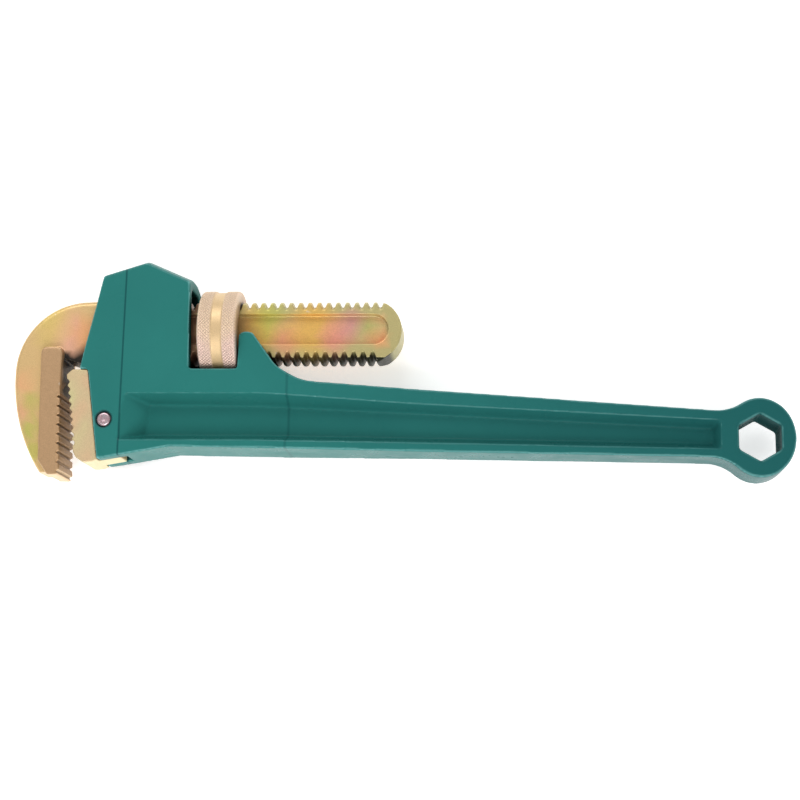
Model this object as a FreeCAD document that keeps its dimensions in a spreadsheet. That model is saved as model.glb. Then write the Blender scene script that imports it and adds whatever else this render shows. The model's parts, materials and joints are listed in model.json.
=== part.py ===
import FreeCAD, Part
import math
import os
import re
import Sketcher

# Heavy-duty straight pipe wrench, 350 mm (14 in) size, lying on its side, in millimetres.
# Design frame: origin on the shank's axis near the adjusting nut, X along the shank towards the
# handle's eye, Y across the wrench towards the housing roof, Z through its thickness.
# The mid-plane of every piece is Z = 0. At the end everything is moved together, so that
# the origin becomes the middle of the bottom of the whole tool's box.

doc = FreeCAD.newDocument("pipe_wrench")
dims = doc.addObject("Spreadsheet::Sheet", "dims")

Vec = FreeCAD.Vector

# (alias, value, meaning)
values = [
    # adjusting nut and thread
    ("nut_radius", 18.0, "outer radius of the adjusting nut"),
    ("nut_x", -0.95, "middle of the nut along the shank"),
    ("nut_width", 15.9, "length of the nut along the shank"),
    ("nut_chamfer", 1.5, "chamfer at both ends of the nut"),
    ("nut_groove_width", 3.6, "smooth groove between the knurled bands"),
    ("nut_groove_depth", 0.6, "depth of that groove"),
    ("thread_pitch", 3.87, "pitch of the single-start right-hand thread"),
    ("thread_phase", -1.45, "middle of a groove on the shank's upper edge"),
    ("thread_depth", 2.1, "depth of the shank's teeth"),
    ("thread_crest", 1.2, "width of a tooth at its crest"),
    ("thread_base", 3.0, "width of a tooth at its root"),
    ("flank_gap", 0.15, "gap between nut and shank flanks, along the axis"),
    ("thread_bite", 0.3, "how far each thread form reaches past its surface"),
    ("radial_gap", 0.22, "gap between nut and shank at crest and root"),
    # shank and hook jaw
    ("shank_radius", 13.2, "radius of the shank's rounded narrow edges"),
    ("shank_thickness", 14.0, "thickness of the flat-sided shank"),
    ("shank_end", 73.7, "end of the shank behind the nut"),
    ("shank_end_radius", 13.0, "round end of the shank in side view"),
    ("thread_start", -13.0, "first groove, ahead of the nut"),
    ("thread_end", 66.5, "last groove, near the shank's end"),
    ("recess_height", 12.7, "height of the long recess in the shank's sides"),
    ("recess_rise", 0.6, "recess centre above the shank's axis"),
    ("recess_depth", 3.0, "depth of that recess"),
    ("recess_start", -24.0, "front end of the recess"),
    ("recess_end", 68.2, "round rear end of the recess"),
    ("square_end", -50.0, "where the hook's square edges run into the shank's round ones"),
    ("bend_x", -56.6, "where the shank starts to bend into the hook"),
    ("bend_radius", 29.8, "outer radius of the hook's bend"),
    ("bend_drop", -16.9, "height of the bend's centre"),
    ("hook_back_x", -83.1, "middle of the hook's back"),
    ("hook_back_y", -39.5, "height of that point"),
    ("hook_toe_x", -73.6, "lower end of the hook's back"),
    ("hook_toe_y", -59.0, "height of the hook's toe"),
    ("block_width", 20.0, "width of the toothed jaw blocks"),
    ("block_back", -74.8, "back edge of the hook's toothed block"),
    ("block_face", -65.75, "smooth face of the hook's toothed block"),
    ("block_top", -7.0, "top of the hook's toothed block"),
    ("block_bottom", -60.3, "bottom of the hook's toothed block"),
    ("hook_tooth_top", -27.4, "height where the hook's teeth begin"),
    ("hook_tooth_pitch", 3.86, "pitch of the hook's teeth"),
    ("hook_tooth_rise", 0.2, "how far the teeth stand out from the block's smooth face"),
    ("hook_tooth_depth", 1.4, "depth of the hook's teeth"),
    ("hook_lean", 2.4, "lean of the hook's tooth line, degrees"),
    ("hook_groove_in", 0.14, "where a groove reaches its floor, as a share of the pitch"),
    ("hook_groove_out", 0.20, "where it leaves its floor"),
    ("hook_groove_end", 0.40, "where it ends"),
    ("hook_tooth_lead", 1.6, "smooth slope above the first tooth"),
    ("block_heel_run", 5.6, "run of the corner under the block's back"),
    ("block_heel_lean", 1.4, "how far the block's back leans"),
    ("block_heel_rise", 6.0, "height of that corner"),
    ("throat_x", -60.25, "where the throat's slope leaves the shank's lower edge"),
    ("throat_y", -11.0, "height of the throat at the toothed block"),
    ("bend_run", 6.0, "run of the slope from the bend to the shank's upper edge"),
    ("cap_run", 1.5, "run of the slopes ahead of the shank's round end"),
    ("cap_share", 0.985, "share of the round end's half height that is curved"),
    ("hook_teeth", 9.0, "number of teeth on the hook"),
    # handle and housing
    ("housing_width", 24.0, "thickness of the housing"),
    ("front_width", 20.4, "thickness at the housing's front edge"),
    ("front_lead", 2.0, "how far ahead of the lip that thickness is measured"),
    ("crease_x", -40.0, "where the housing starts to narrow towards its front"),
    ("root_x", 28.0, "where the housing ends and the grip starts to narrow"),
    ("grip_width", 20.0, "thickness of the grip at its thick end"),
    ("grip_x", 76.0, "where the grip reaches that thickness"),
    ("eye_width", 17.6, "thickness of the grip at the eye"),
    ("roof_front_x", -49.4, "front end of the roof"),
    ("roof_front_y", 22.1, "side height of the roof at its front end"),
    ("roof_peak_x", -31.9, "ridge of the roof"),
    ("roof_peak_y", 27.6, "side height of the ridge"),
    ("roof_rear_y", 19.5, "side height of the roof at the rear wall"),
    ("roof_crown", 2.6, "height of the roof's middle above its sides"),
    ("rear_gap", 4.6, "gap between the rear wall and the nut"),
    ("rear_lean", 1.1, "how far the rear wall's foot stands behind its top"),
    ("ear_gap", 0.4, "gap between the nut and the ears behind it"),
    ("ear_length", 5.6, "flat top of each ear"),
    ("ear_top", -1.55, "height of the ears"),
    ("ear_foot_x", 23.4, "foot of the slope behind the ears"),
    ("ear_foot_y", -16.0, "height of that foot"),
    ("nut_floor_gap", 0.6, "gap under the nut in the middle of its notch"),
    ("notch_side_rise", 2.0, "how much higher the notch floor is at the sides"),
    ("grip_top_x", 33.8, "start of the grip's straight top edge"),
    ("grip_top_y", -21.7, "height of that start"),
    ("neck_x", 197.0, "end of the grip's straight edges, before the eye"),
    ("neck_top_y", -33.6, "top edge at the neck"),
    ("neck_bottom_y", -52.3, "bottom edge at the neck"),
    ("neck_fall", 0.5, "fall of the top edge past the neck"),
    ("sole_x", -19.5, "where the bottom edge bends down towards the heel jaw"),
    ("sole_y", -48.9, "height of that bend"),
    ("toe_x", -48.75, "bottom front corner of the housing"),
    ("toe_y", -54.1, "height of that corner"),
    ("lip_x", -58.3, "front edge of the lip under the shank"),
    ("seat_top_x", -54.6, "top end of the heel jaw's seat"),
    ("seat_top_y", -16.6, "height of the seat's top"),
    ("eye_reach", 18.8, "eye centre beyond the neck"),
    ("eye_y", -44.2, "height of the eye's centre"),
    ("eye_half_length", 14.0, "half length of the eye's outline"),
    ("eye_half_height", 15.9, "half height of the eye's outline"),
    ("eye_hex", 16.4, "hexagon hole across flats"),
    ("neck_fillet", 17.0, "blend between grip and eye"),
    ("root_fillet", 16.0, "blend between ears' slope and grip"),
    ("grip_fillet", 20.0, "blend where the grip's straight top edge starts"),
    ("ear_fillet", 2.2, "rounding of the ears"),
    # I-beam recesses
    ("web_thickness", 7.6, "web between the two side recesses"),
    ("beam_left", -38.7, "front end of a side recess at the face"),
    ("beam_left_floor", -29.2, "front end of a side recess at its floor"),
    ("beam_front_lean", 2.6, "how far the recess's front end leans at the face"),
    ("beam_bend", 16.0, "where the recess starts to narrow"),
    ("beam_top", -27.2, "top of the recess at the face"),
    ("beam_top_floor", -30.4, "top of the recess at its floor"),
    ("beam_bottom", -46.1, "bottom of the recess at the face"),
    ("beam_bottom_floor", -43.5, "bottom of the recess at its floor"),
    ("beam_end_reach", 5.0, "rear end of the recess beyond the neck"),
    ("beam_end_top", -36.0, "top of the rear end at the face level"),
    ("beam_end_bottom", -50.2, "bottom of the rear end at the face level"),
    ("beam_end_slope", 4.2, "run of the recess's rear end"),
    ("beam_end_draft", 3.9, "run of the recess's edges at the rear end"),
    ("beam_floor_drop", 0.4, "fall of the floor's top edge along the housing"),
    # passage for the shank
    ("passage_gap", 0.35, "gap at each side of the shank"),
    ("passage_top", 17.3, "height of the passage roof"),
    ("passage_floor", -14.8, "height of the passage floor"),
    ("passage_round", 3.0, "rounding of the passage roof"),
    # heel jaw and its pin
    ("heel_tip_x", -63.4, "top of the heel jaw's tooth line"),
    ("heel_tip_y", -18.8, "height of that point"),
    ("heel_low_x", -58.9, "bottom of the heel jaw's tooth line"),
    ("heel_low_y", -51.0, "height of that point"),
    ("heel_crown_x", -61.0, "front end of the heel jaw's flat top"),
    ("heel_foot_x", -54.5, "foot of the heel jaw"),
    ("heel_foot_y", -55.3, "height of that foot"),
    ("heel_end_x", -50.6, "rear end of the foot"),
    ("heel_end_y", -54.9, "height of that end"),
    ("heel_chin_x", -57.6, "chin between the teeth and the foot"),
    ("heel_chin_y", -53.3, "height of that chin"),
    ("heel_tooth_pitch", 3.2, "pitch of the heel jaw's teeth"),
    ("heel_tooth_depth", 0.95, "depth of the heel jaw's teeth"),
    ("heel_groove_start", 0.55, "where the first groove starts, as a share of the pitch"),
    ("heel_groove_in", 0.36, "where a groove reaches its floor, from its start"),
    ("heel_groove_out", 0.52, "where it leaves its floor"),
    ("heel_groove_end", 0.86, "where it ends"),
    ("heel_teeth", 9.0, "number of teeth on the heel jaw"),
    ("lip_gap", 0.1, "gap between the heel jaw's top and the lip above it"),
    ("tongue_width", 10.4, "thickness of the heel jaw's tongue"),
    ("tongue_top", -28.5, "top of the tongue"),
    ("tongue_end", -40.2, "rear end of the tongue"),
    ("slot_gap", 0.05, "gap around the tongue"),
    ("slot_clear", 2.6, "slot behind the end of the tongue"),
    ("pin_x", -46.6, "heel jaw pin"),
    ("pin_y", -37.7, "height of the pin"),
    ("pin_diameter", 6.2, "diameter of the pin"),
    ("pin_sink", 0.2, "how far the pin's ends lie below the housing's sides"),
    ("pin_chamfer", 0.4, "chamfer at the pin's ends"),
    # springs
    ("coil_x", -26.0, "axis of the coil spring under the shank"),
    ("coil_diameter", 7.2, "outer diameter of the coil spring"),
    ("coil_wire", 1.1, "wire of the coil spring"),
    ("coil_turns", 4.5, "turns of the coil spring"),
    ("coil_bore_gap", 1.25, "gap around the coil spring, which leans as the shank rocks"),
    ("coil_bore_depth", 8.6, "depth of its bore below the passage floor"),
    ("coil_shank_gap", 0.75, "gap between the coil and the shank, for the rocking"),
    ("leaf_length", 26.0, "length of the flat spring"),
    ("leaf_thickness", 0.8, "thickness of the flat spring"),
    ("leaf_bow", 0.35, "bow of the flat spring"),
    ("leaf_x", -31.9, "middle of the flat spring"),
    ("rivet_diameter", 3.6, "diameter of the flat spring's rivet"),
    ("rivet_head", 6.4, "diameter of the rivet's countersunk head"),
    ("rivet_head_height", 1.6, "height of that head"),
    ("rivet_rim", 0.3, "straight rim of that head"),
    ("rivet_sink", 0.9, "how far the head lies below the roof's crown"),
    # edges
    ("jaw_round", 0.8, "rounding of the jaws' edges"),
    ("block_round", 2.6, "rounding of the hook block's corners in side view"),
    ("heel_round", 1.6, "rounding of the heel jaw's top and foot"),
    ("jaw_overlap", 1.5, "how far the hook's web reaches into its toothed block"),
    ("hook_bevel", 2.2, "rounding of the hook's outer edges"),
    ("cut_margin", 1.0, "how far a cutter reaches past the piece it cuts"),
]

for row, (alias, number, meaning) in enumerate(values, start=1):
    dims.set("A%d" % row, str(number))
    dims.setAlias("A%d" % row, alias)
    dims.set("B%d" % row, meaning)
doc.recompute()


def bound(text):
    """Expression text in which every name with an underscore is a cell of the sheet."""
    return re.sub(r"\b([a-z]+(?:_[a-z]+)+)\b", r"dims.\1", text)


def size(text):
    """Value of such an expression, as a number."""
    return float(dims.evalExpression(bound(text)))


planes = {
    "side": FreeCAD.Rotation(),
    "plan": FreeCAD.Rotation(Vec(1, 0, 0), 90),
    "section": FreeCAD.Rotation(Vec(1, 1, 1), 120),
}


def outline(name, plane, points, level="0"):
    """Closed sketch of straight lines. Each corner is held by two bound dimensions."""
    sketch = doc.addObject("Sketcher::SketchObject", name)
    turn = planes[plane]
    sketch.Placement = FreeCAD.Placement(turn.multVec(Vec(0, 0, size(level))), turn)
    corners = [Vec(size(across), size(up), 0) for across, up in points]
    count = len(corners)
    for index in range(count):
        sketch.addGeometry(Part.LineSegment(corners[index], corners[(index + 1) % count]), False)
    for index in range(count):
        sketch.addConstraint(Sketcher.Constraint("Coincident", index, 2, (index + 1) % count, 1))
    for index, (across, up) in enumerate(points):
        for kind, text in (("DistanceX", across), ("DistanceY", up)):
            number = sketch.addConstraint(Sketcher.Constraint(kind, -1, 1, index, 1, size(text)))
            label = "%s%d" % (kind, index)
            sketch.renameConstraint(number, label)
            sketch.setExpression("Constraints." + label, bound(text))
    return sketch


def extrude(name, sketch, length):
    """Solid of a sketch, half of its length on each side of the sketch's plane."""
    solid = doc.addObject("Part::Extrusion", name)
    solid.Base = sketch
    solid.DirMode = "Normal"
    solid.Solid = True
    solid.Symmetric = True
    solid.setExpression("LengthFwd", bound(length))
    return solid


def cylinder(name, radius, length, base, direction):
    """Cylinder with a bound radius and length that starts at base and runs along direction."""
    solid = doc.addObject("Part::Cylinder", name)
    solid.setExpression("Radius", bound(radius))
    solid.setExpression("Height", bound(length))
    spot = Vec(*[size(text) for text in base])
    solid.Placement = FreeCAD.Placement(spot, FreeCAD.Rotation(Vec(0, 0, 1), Vec(*direction)))
    return solid


def cut(name, base, *tools):
    """Base without its tools."""
    for number, tool in enumerate(tools):
        result = doc.addObject("Part::Cut", "%s_%d" % (name, number))
        result.Base = base
        result.Tool = tool
        base = result
    return base


def join(name, *shapes):
    """Fusion of several solids."""
    result = doc.addObject("Part::MultiFuse", name)
    result.Shapes = list(shapes)
    return result


def overlap(name, *shapes):
    """Space that several solids share."""
    result = doc.addObject("Part::MultiCommon", name)
    result.Shapes = list(shapes)
    return result


def rounded(name, base, rules):
    """Base with rounded edges. Each rule is a radius and a test of an edge."""
    doc.recompute()
    picked = []
    for number, edge in enumerate(base.Shape.Edges, start=1):
        for radius, wanted in rules:
            if wanted(edge):
                picked.append((number, size(radius), size(radius)))
                break
    result = doc.addObject("Part::Fillet", name)
    result.Base = base
    result.Edges = picked
    return result


def upright_at(points, reach=0.05):
    """Test for edges along Z that pass through one of the given points of the side view."""
    spots = [(size(across), size(up)) for across, up in points]

    def wanted(edge):
        first, last = edge.Vertexes[0].Point, edge.Vertexes[-1].Point
        if abs(first.x - last.x) > 1e-4 or abs(first.y - last.y) > 1e-4:
            return False
        return any(math.hypot(first.x - x, first.y - y) < reach for x, y in spots)

    return wanted


def along(direction, reach=0.02):
    """Test for straight edges along a direction."""
    def wanted(edge):
        if edge.Curve.TypeId != "Part::GeomLine":
            return False
        run = edge.Vertexes[-1].Point - edge.Vertexes[0].Point
        return run.Length > 0.5 and run.cross(Vec(*direction)).Length / run.Length < reach

    return wanted


def feature(name, shape):
    """Object whose shape is worked out here, because no feature of the workbenches makes it."""
    result = doc.addObject("Part::Feature", name)
    result.Shape = shape
    return result


# ---------------------------------------------------------------- thread

def thread_profile(wide, narrow, outer, inner):
    """Closed wire of a thread form in the plane that holds the thread's axis."""
    corners = [Vec(outer, 0, -wide / 2), Vec(outer, 0, wide / 2),
               Vec(inner, 0, narrow / 2), Vec(inner, 0, -narrow / 2)]
    return Part.makePolygon(corners + corners[:1])


def thread_sweep(profile, radius, degrees):
    """Right-hand helical solid about X, with its middle at the thread's phase on the +Y side."""
    pitch = size("thread_pitch")
    rise = pitch * degrees / 360
    helix = Part.makeHelix(pitch, rise, radius)
    solid = Part.Wire(helix).makePipeShell([profile], True, True)
    solid.rotate(Vec(0, 0, 0), Vec(0, 0, 1), -degrees / 2)
    solid.translate(Vec(0, 0, -rise / 2))
    solid.rotate(Vec(0, 0, 0), Vec(1, 1, 1), 120)
    solid.translate(Vec(size("thread_phase"), 0, 0))
    return solid


def form_width(radius):
    """Width of the groove between two shank teeth at a radius."""
    crest_gap = size("thread_pitch - thread_crest")
    root_gap = size("thread_pitch - thread_base")
    share = (radius - size("shank_radius - thread_depth")) / size("thread_depth")
    return root_gap + (crest_gap - root_gap) * share


def shank_grooves():
    """Grooves of the thread where it crosses the shank's two narrow edges."""
    outer = size("shank_radius + thread_bite")
    inner = size("shank_radius - thread_depth")
    spread = 2 * math.degrees(math.asin(size("shank_thickness / 2") / inner)) + 8
    profile = thread_profile(form_width(outer), form_width(inner), outer, inner)
    groove = thread_sweep(profile, inner, spread)
    pitch = size("thread_pitch")
    first = math.ceil(size("thread_start") / pitch)
    last = math.floor(size("thread_end") / pitch)
    grooves = []
    for turn in range(first, last + 1):
        upper = groove.copy()
        upper.translate(Vec(turn * pitch, 0, 0))
        grooves.append(upper)
        if (turn + 0.5) * pitch > size("thread_end"):
            continue
        lower = groove.copy()
        lower.rotate(Vec(0, 0, 0), Vec(1, 0, 0), 180)
        lower.translate(Vec((turn + 0.5) * pitch, 0, 0))
        grooves.append(lower)
    return Part.Compound(grooves)


def nut_ridge():
    """Helical ridge inside the nut, which runs in the shank's grooves."""
    outer = size("shank_radius + radial_gap + thread_bite")
    inner = size("shank_radius - thread_depth + radial_gap")
    slack = size("2 * flank_gap")
    profile = thread_profile(form_width(outer) - slack, form_width(inner) - slack, outer, inner)
    turns = size("nut_width / thread_pitch") + 2
    return thread_sweep(profile, inner, 360 * math.ceil(turns))


# ---------------------------------------------------------------- adjusting nut

def make_nut():
    front = "nut_x - nut_width / 2"
    rear = "nut_x + nut_width / 2"
    bore = "shank_radius + radial_gap"
    ring = outline("nut_section", "side", [
        (front, bore),
        (rear, bore),
        (rear, "nut_radius - nut_chamfer"),
        (rear + " - nut_chamfer", "nut_radius"),
        ("nut_x + nut_groove_width / 2 + nut_groove_depth", "nut_radius"),
        ("nut_x + nut_groove_width / 2", "nut_radius - nut_groove_depth"),
        ("nut_x - nut_groove_width / 2", "nut_radius - nut_groove_depth"),
        ("nut_x - nut_groove_width / 2 - nut_groove_depth", "nut_radius"),
        (front + " + nut_chamfer", "nut_radius"),
        (front, "nut_radius - nut_chamfer"),
    ])
    turned = doc.addObject("Part::Revolution", "nut_ring")
    turned.Source = ring
    turned.Axis = Vec(1, 0, 0)
    turned.Base = Vec(0, 0, 0)
    turned.Angle = 360
    turned.Solid = True
    reach = "shank_radius + radial_gap + thread_bite"
    space = cylinder("nut_thread_space", reach, "nut_width", (front, "0", "0"), (1, 0, 0))
    ridge = overlap("nut_thread", feature("nut_ridge", nut_ridge()), space)
    return join("nut_solid", turned, ridge)


# ---------------------------------------------------------------- hook jaw

def hook_web():
    """Shank and hook in side view: straight bar, round end, outer bend, back and throat."""
    radius = size("shank_radius")
    end = Vec(size("shank_end"), 0, 0)
    cap_centre = Vec(size("shank_end - shank_end_radius"), 0, 0)
    cap = math.asin(size("cap_share"))
    cap_top = cap_centre + Vec(math.cos(cap), math.sin(cap), 0) * size("shank_end_radius")
    cap_low = Vec(cap_top.x, -cap_top.y, 0)
    bend = Vec(size("bend_x"), size("bend_drop"), 0)
    bend_size = size("bend_radius")
    bend_top = bend + Vec(0, bend_size, 0)
    bend_middle = bend + Vec(-bend_size * math.cos(math.pi / 4), bend_size * math.sin(math.pi / 4), 0)
    bend_low = bend + Vec(-bend_size, 0, 0)
    back = Vec(size("hook_back_x"), size("hook_back_y"), 0)
    toe = Vec(size("hook_toe_x"), size("hook_toe_y"), 0)
    face = size("block_face - jaw_overlap")
    sole = Vec(face, toe.y, 0)
    throat = Vec(face, size("throat_y"), 0)
    under = Vec(size("throat_x"), -radius, 0)
    rear_low = Vec(cap_low.x - size("cap_run"), -radius, 0)
    rear_top = Vec(cap_top.x - size("cap_run"), radius, 0)
    front_top = Vec(bend_top.x + size("bend_run"), radius, 0)
    edges = [
        Part.LineSegment(front_top, rear_top),
        Part.LineSegment(rear_top, cap_top),
        Part.Arc(cap_top, end, cap_low),
        Part.LineSegment(cap_low, rear_low),
        Part.LineSegment(rear_low, under),
        Part.LineSegment(under, throat),
        Part.LineSegment(throat, sole),
        Part.LineSegment(sole, toe),
        Part.Arc(toe, back, bend_low),
        Part.Arc(bend_low, bend_middle, bend_top),
        Part.LineSegment(bend_top, front_top),
    ]
    wire = Part.Wire(Part.__sortEdges__([edge.toShape() for edge in edges]))
    width = size("shank_thickness")
    slab = Part.Face(wire).extrude(Vec(0, 0, width))
    slab.translate(Vec(0, 0, -width / 2))
    return slab


def hook_outer_edge(edge):
    """Edges of the hook's outer bend and back, and of the toe."""
    if edge.Curve.TypeId != "Part::GeomCircle" or abs(edge.CenterOfMass.z) < 0.5:
        return False
    return edge.CenterOfMass.x < size("bend_x")


def hook_teeth():
    """Row of V grooves across the hook's toothed block."""
    pitch = size("hook_tooth_pitch")
    depth = size("hook_tooth_depth")
    width = size("block_width + 2 * cut_margin")
    lean = math.radians(size("hook_lean"))
    down = Vec(math.sin(lean), -math.cos(lean), 0)
    out = Vec(math.cos(lean), math.sin(lean), 0)
    start = Vec(size("block_face + hook_tooth_rise"), size("hook_tooth_top"), 0)
    cutters = []
    for number in range(int(size("hook_teeth"))):
        top = start + down * (pitch * number)
        corners = [
            top + out * depth,
            top,
            top + down * size("hook_groove_in * hook_tooth_pitch") - out * depth,
            top + down * size("hook_groove_out * hook_tooth_pitch") - out * depth,
            top + down * size("hook_groove_end * hook_tooth_pitch"),
            top + down * size("hook_groove_end * hook_tooth_pitch") + out * depth,
        ]
        face = Part.Face(Part.makePolygon(corners + corners[:1]))
        groove = face.extrude(Vec(0, 0, width))
        groove.translate(Vec(0, 0, -width / 2))
        cutters.append(groove)
    return Part.Compound(cutters)


def hook_block():
    """Toothed block in side view: wider than the hook, with round ends and a leaning face."""
    tooth_line = "block_face + hook_tooth_rise"
    low_face = tooth_line + " + tan(hook_lean) * (hook_tooth_top - block_bottom)"
    points = [
        ("block_back", "block_top"),
        ("block_face", "block_top"),
        ("block_face", "hook_tooth_top + hook_tooth_lead"),
        (tooth_line, "hook_tooth_top + hook_tooth_lead / 4"),
        (low_face, "block_bottom"),
        ("block_back + block_heel_run", "block_bottom"),
        ("block_back + block_heel_lean", "block_bottom + block_heel_rise"),
    ]
    block = extrude("hook_block", outline("hook_block_outline", "side", points), "block_width")
    corners = [("block_back", "block_top"), ("block_face", "block_top")]
    return rounded("hook_block_corners", block, [
        ("block_round", upright_at(corners)),
        ("heel_round", upright_at([(low_face, "block_bottom")])),
    ])


def make_hook():
    web = rounded("hook_web_rounded", feature("hook_web", hook_web()),
                  [("hook_bevel", hook_outer_edge)])
    bar = cylinder("shank_round", "shank_radius", "shank_end - square_end + cut_margin",
                   ("square_end", "0", "0"), (1, 0, 0))
    hook_zone = outline("hook_zone", "side", [
        ("bend_x - 2 * bend_radius", "bend_drop - 3 * bend_radius"),
        ("square_end", "bend_drop - 3 * bend_radius"),
        ("square_end", "2 * shank_radius"),
        ("bend_x - 2 * bend_radius", "2 * shank_radius"),
    ])
    zone = extrude("hook_zone_box", hook_zone, "shank_thickness + 4 * cut_margin")
    keep = join("hook_envelope", bar, zone)
    blank = overlap("hook_blank", web, keep)
    block = rounded("hook_block_rounded", hook_block(), [
        ("jaw_round", lambda edge: abs(abs(edge.CenterOfMass.z) - size("block_width / 2")) < 0.01
         and edge.CenterOfMass.x < size("block_face - block_round")),
    ])
    whole = join("hook_whole", blank, block)
    recess_tools = []
    for side in (1, -1):
        level = "%d * (shank_thickness - recess_depth + cut_margin) / 2" % side
        radius = "recess_height / 2"
        deep = "recess_depth + cut_margin"
        box = outline("recess_box_%d" % (side + 1), "side", [
            ("recess_start", "recess_rise - " + radius),
            ("recess_end - " + radius, "recess_rise - " + radius),
            ("recess_end - " + radius, "recess_rise + " + radius),
            ("recess_start", "recess_rise + " + radius),
        ], level)
        recess_tools.append(extrude("recess_slab_%d" % (side + 1), box, deep))
        for end, spot in (("rear", "recess_end - " + radius), ("front", "recess_start")):
            base = (spot, "recess_rise", level + " - (recess_depth + cut_margin) / 2")
            name = "recess_%s_%d" % (end, side + 1)
            recess_tools.append(cylinder(name, radius, deep, base, (0, 0, 1)))
    recess = join("shank_recess", *recess_tools)
    grooves = feature("shank_grooves", shank_grooves())
    teeth = feature("hook_teeth_cut", hook_teeth())
    return cut("hook_cut", whole, recess, grooves, teeth)


# ---------------------------------------------------------------- heel jaw

def heel_outline():
    return [
        ("heel_tip_x", "heel_tip_y"),
        ("heel_crown_x", "seat_top_y - lip_gap"),
        (seat_x("seat_top_y - lip_gap"), "seat_top_y - lip_gap"),
        ("toe_x", "toe_y"),
        ("heel_end_x", "heel_end_y"),
        ("heel_foot_x", "heel_foot_y"),
        ("heel_chin_x", "heel_chin_y"),
        ("heel_low_x", "heel_low_y"),
    ]


def heel_teeth():
    """Row of shallow V grooves across the heel jaw's face."""
    tip = Vec(size("heel_tip_x"), size("heel_tip_y"), 0)
    low = Vec(size("heel_low_x"), size("heel_low_y"), 0)
    down = (low - tip).normalize()
    out = Vec(down.y, -down.x, 0)
    pitch = size("heel_tooth_pitch")
    depth = size("heel_tooth_depth")
    reach = size("2 * cut_margin")
    width = size("block_width + 2 * cut_margin")
    cutters = []
    for number in range(int(size("heel_teeth"))):
        top = tip + down * (pitch * (number + size("heel_groove_start")))
        corners = [
            top + out * reach,
            top,
            top + down * size("heel_groove_in * heel_tooth_pitch") - out * depth,
            top + down * size("heel_groove_out * heel_tooth_pitch") - out * depth,
            top + down * size("heel_groove_end * heel_tooth_pitch"),
            top + down * size("heel_groove_end * heel_tooth_pitch") + out * reach,
        ]
        face = Part.Face(Part.makePolygon(corners + corners[:1]))
        groove = face.extrude(Vec(0, 0, width))
        groove.translate(Vec(0, 0, -width / 2))
        cutters.append(groove)
    return Part.Compound(cutters)


def seat_x(height):
    """Place of the heel jaw's seat line at a height, as an expression."""
    return ("seat_top_x + (toe_x - seat_top_x) * (seat_top_y - (%s)) / (seat_top_y - toe_y)"
            % height)


def sole_height(place):
    """Height of the housing's sloping bottom edge at a place, as an expression."""
    return "toe_y + (sole_y - toe_y) * ((%s) - toe_x) / (sole_x - toe_x)" % place


def make_heel():
    plate = extrude("heel_plate", outline("heel_outline", "side", heel_outline()), "block_width")
    top = "seat_top_y - lip_gap"
    plate = rounded("heel_plate_rounded", plate, [
        ("jaw_round", upright_at([(seat_x(top), top), ("heel_tip_x", "heel_tip_y")])),
        ("heel_round", upright_at([("heel_crown_x", top), ("heel_foot_x", "heel_foot_y"),
                                   ("heel_chin_x", "heel_chin_y")])),
    ])
    toothed = cut("heel_toothed", plate, feature("heel_teeth_cut", heel_teeth()))
    tongue = outline("tongue_outline", "side", [
        (seat_x("tongue_top") + " - cut_margin", "tongue_top"),
        ("tongue_end", "tongue_top"),
        ("tongue_end", sole_height("tongue_end") + " + slot_gap"),
        ("toe_x", "toe_y + slot_gap"),
        ("toe_x - cut_margin", "toe_y + cut_margin"),
    ])
    tongue = extrude("tongue", tongue, "tongue_width")
    joined = join("heel_joined", toothed, tongue)
    low = "-tongue_width"
    hole = cylinder("heel_pin_hole", "pin_diameter / 2", "2 * tongue_width",
                    ("pin_x", "pin_y", low), (0, 0, 1))
    return cut("heel_cut", joined, hole)


def make_pin():
    local_width = ("front_width + (housing_width - front_width) * (pin_x - lip_x + front_lead)"
                   " / (crease_x - lip_x + front_lead)")
    length = local_width + " - 2 * pin_sink"
    pin = cylinder("pin_blank", "pin_diameter / 2", length,
                   ("pin_x", "pin_y", "-(%s) / 2" % length), (0, 0, 1))
    chamfered = doc.addObject("Part::Chamfer", "pin_chamfered")
    chamfered.Base = pin
    doc.recompute()
    depth = size("pin_chamfer")
    chamfered.Edges = [(number, depth, depth) for number, edge in enumerate(pin.Shape.Edges, start=1)
                       if edge.Curve.TypeId == "Part::GeomCircle"]
    return chamfered


# ---------------------------------------------------------------- springs

def make_coil():
    """Coil spring that stands in its bore and pushes the shank up."""
    radius = size("(coil_diameter - coil_wire) / 2")
    wire = size("coil_wire")
    bottom = size("passage_floor - coil_bore_depth")
    top = size("-shank_radius - coil_shank_gap")
    rise = top - bottom - wire
    pitch = rise / size("coil_turns")
    helix = Part.makeHelix(pitch, rise, radius)
    section = Part.Wire(Part.makeCircle(wire / 2, Vec(radius, 0, 0), Vec(0, 1, 0)))
    coil = Part.Wire(helix).makePipeShell([section], True, True)
    coil.rotate(Vec(0, 0, 0), Vec(1, 0, 0), -90)
    coil.translate(Vec(size("coil_x"), bottom + wire / 2, 0))
    return feature("coil_solid", coil)


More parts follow.
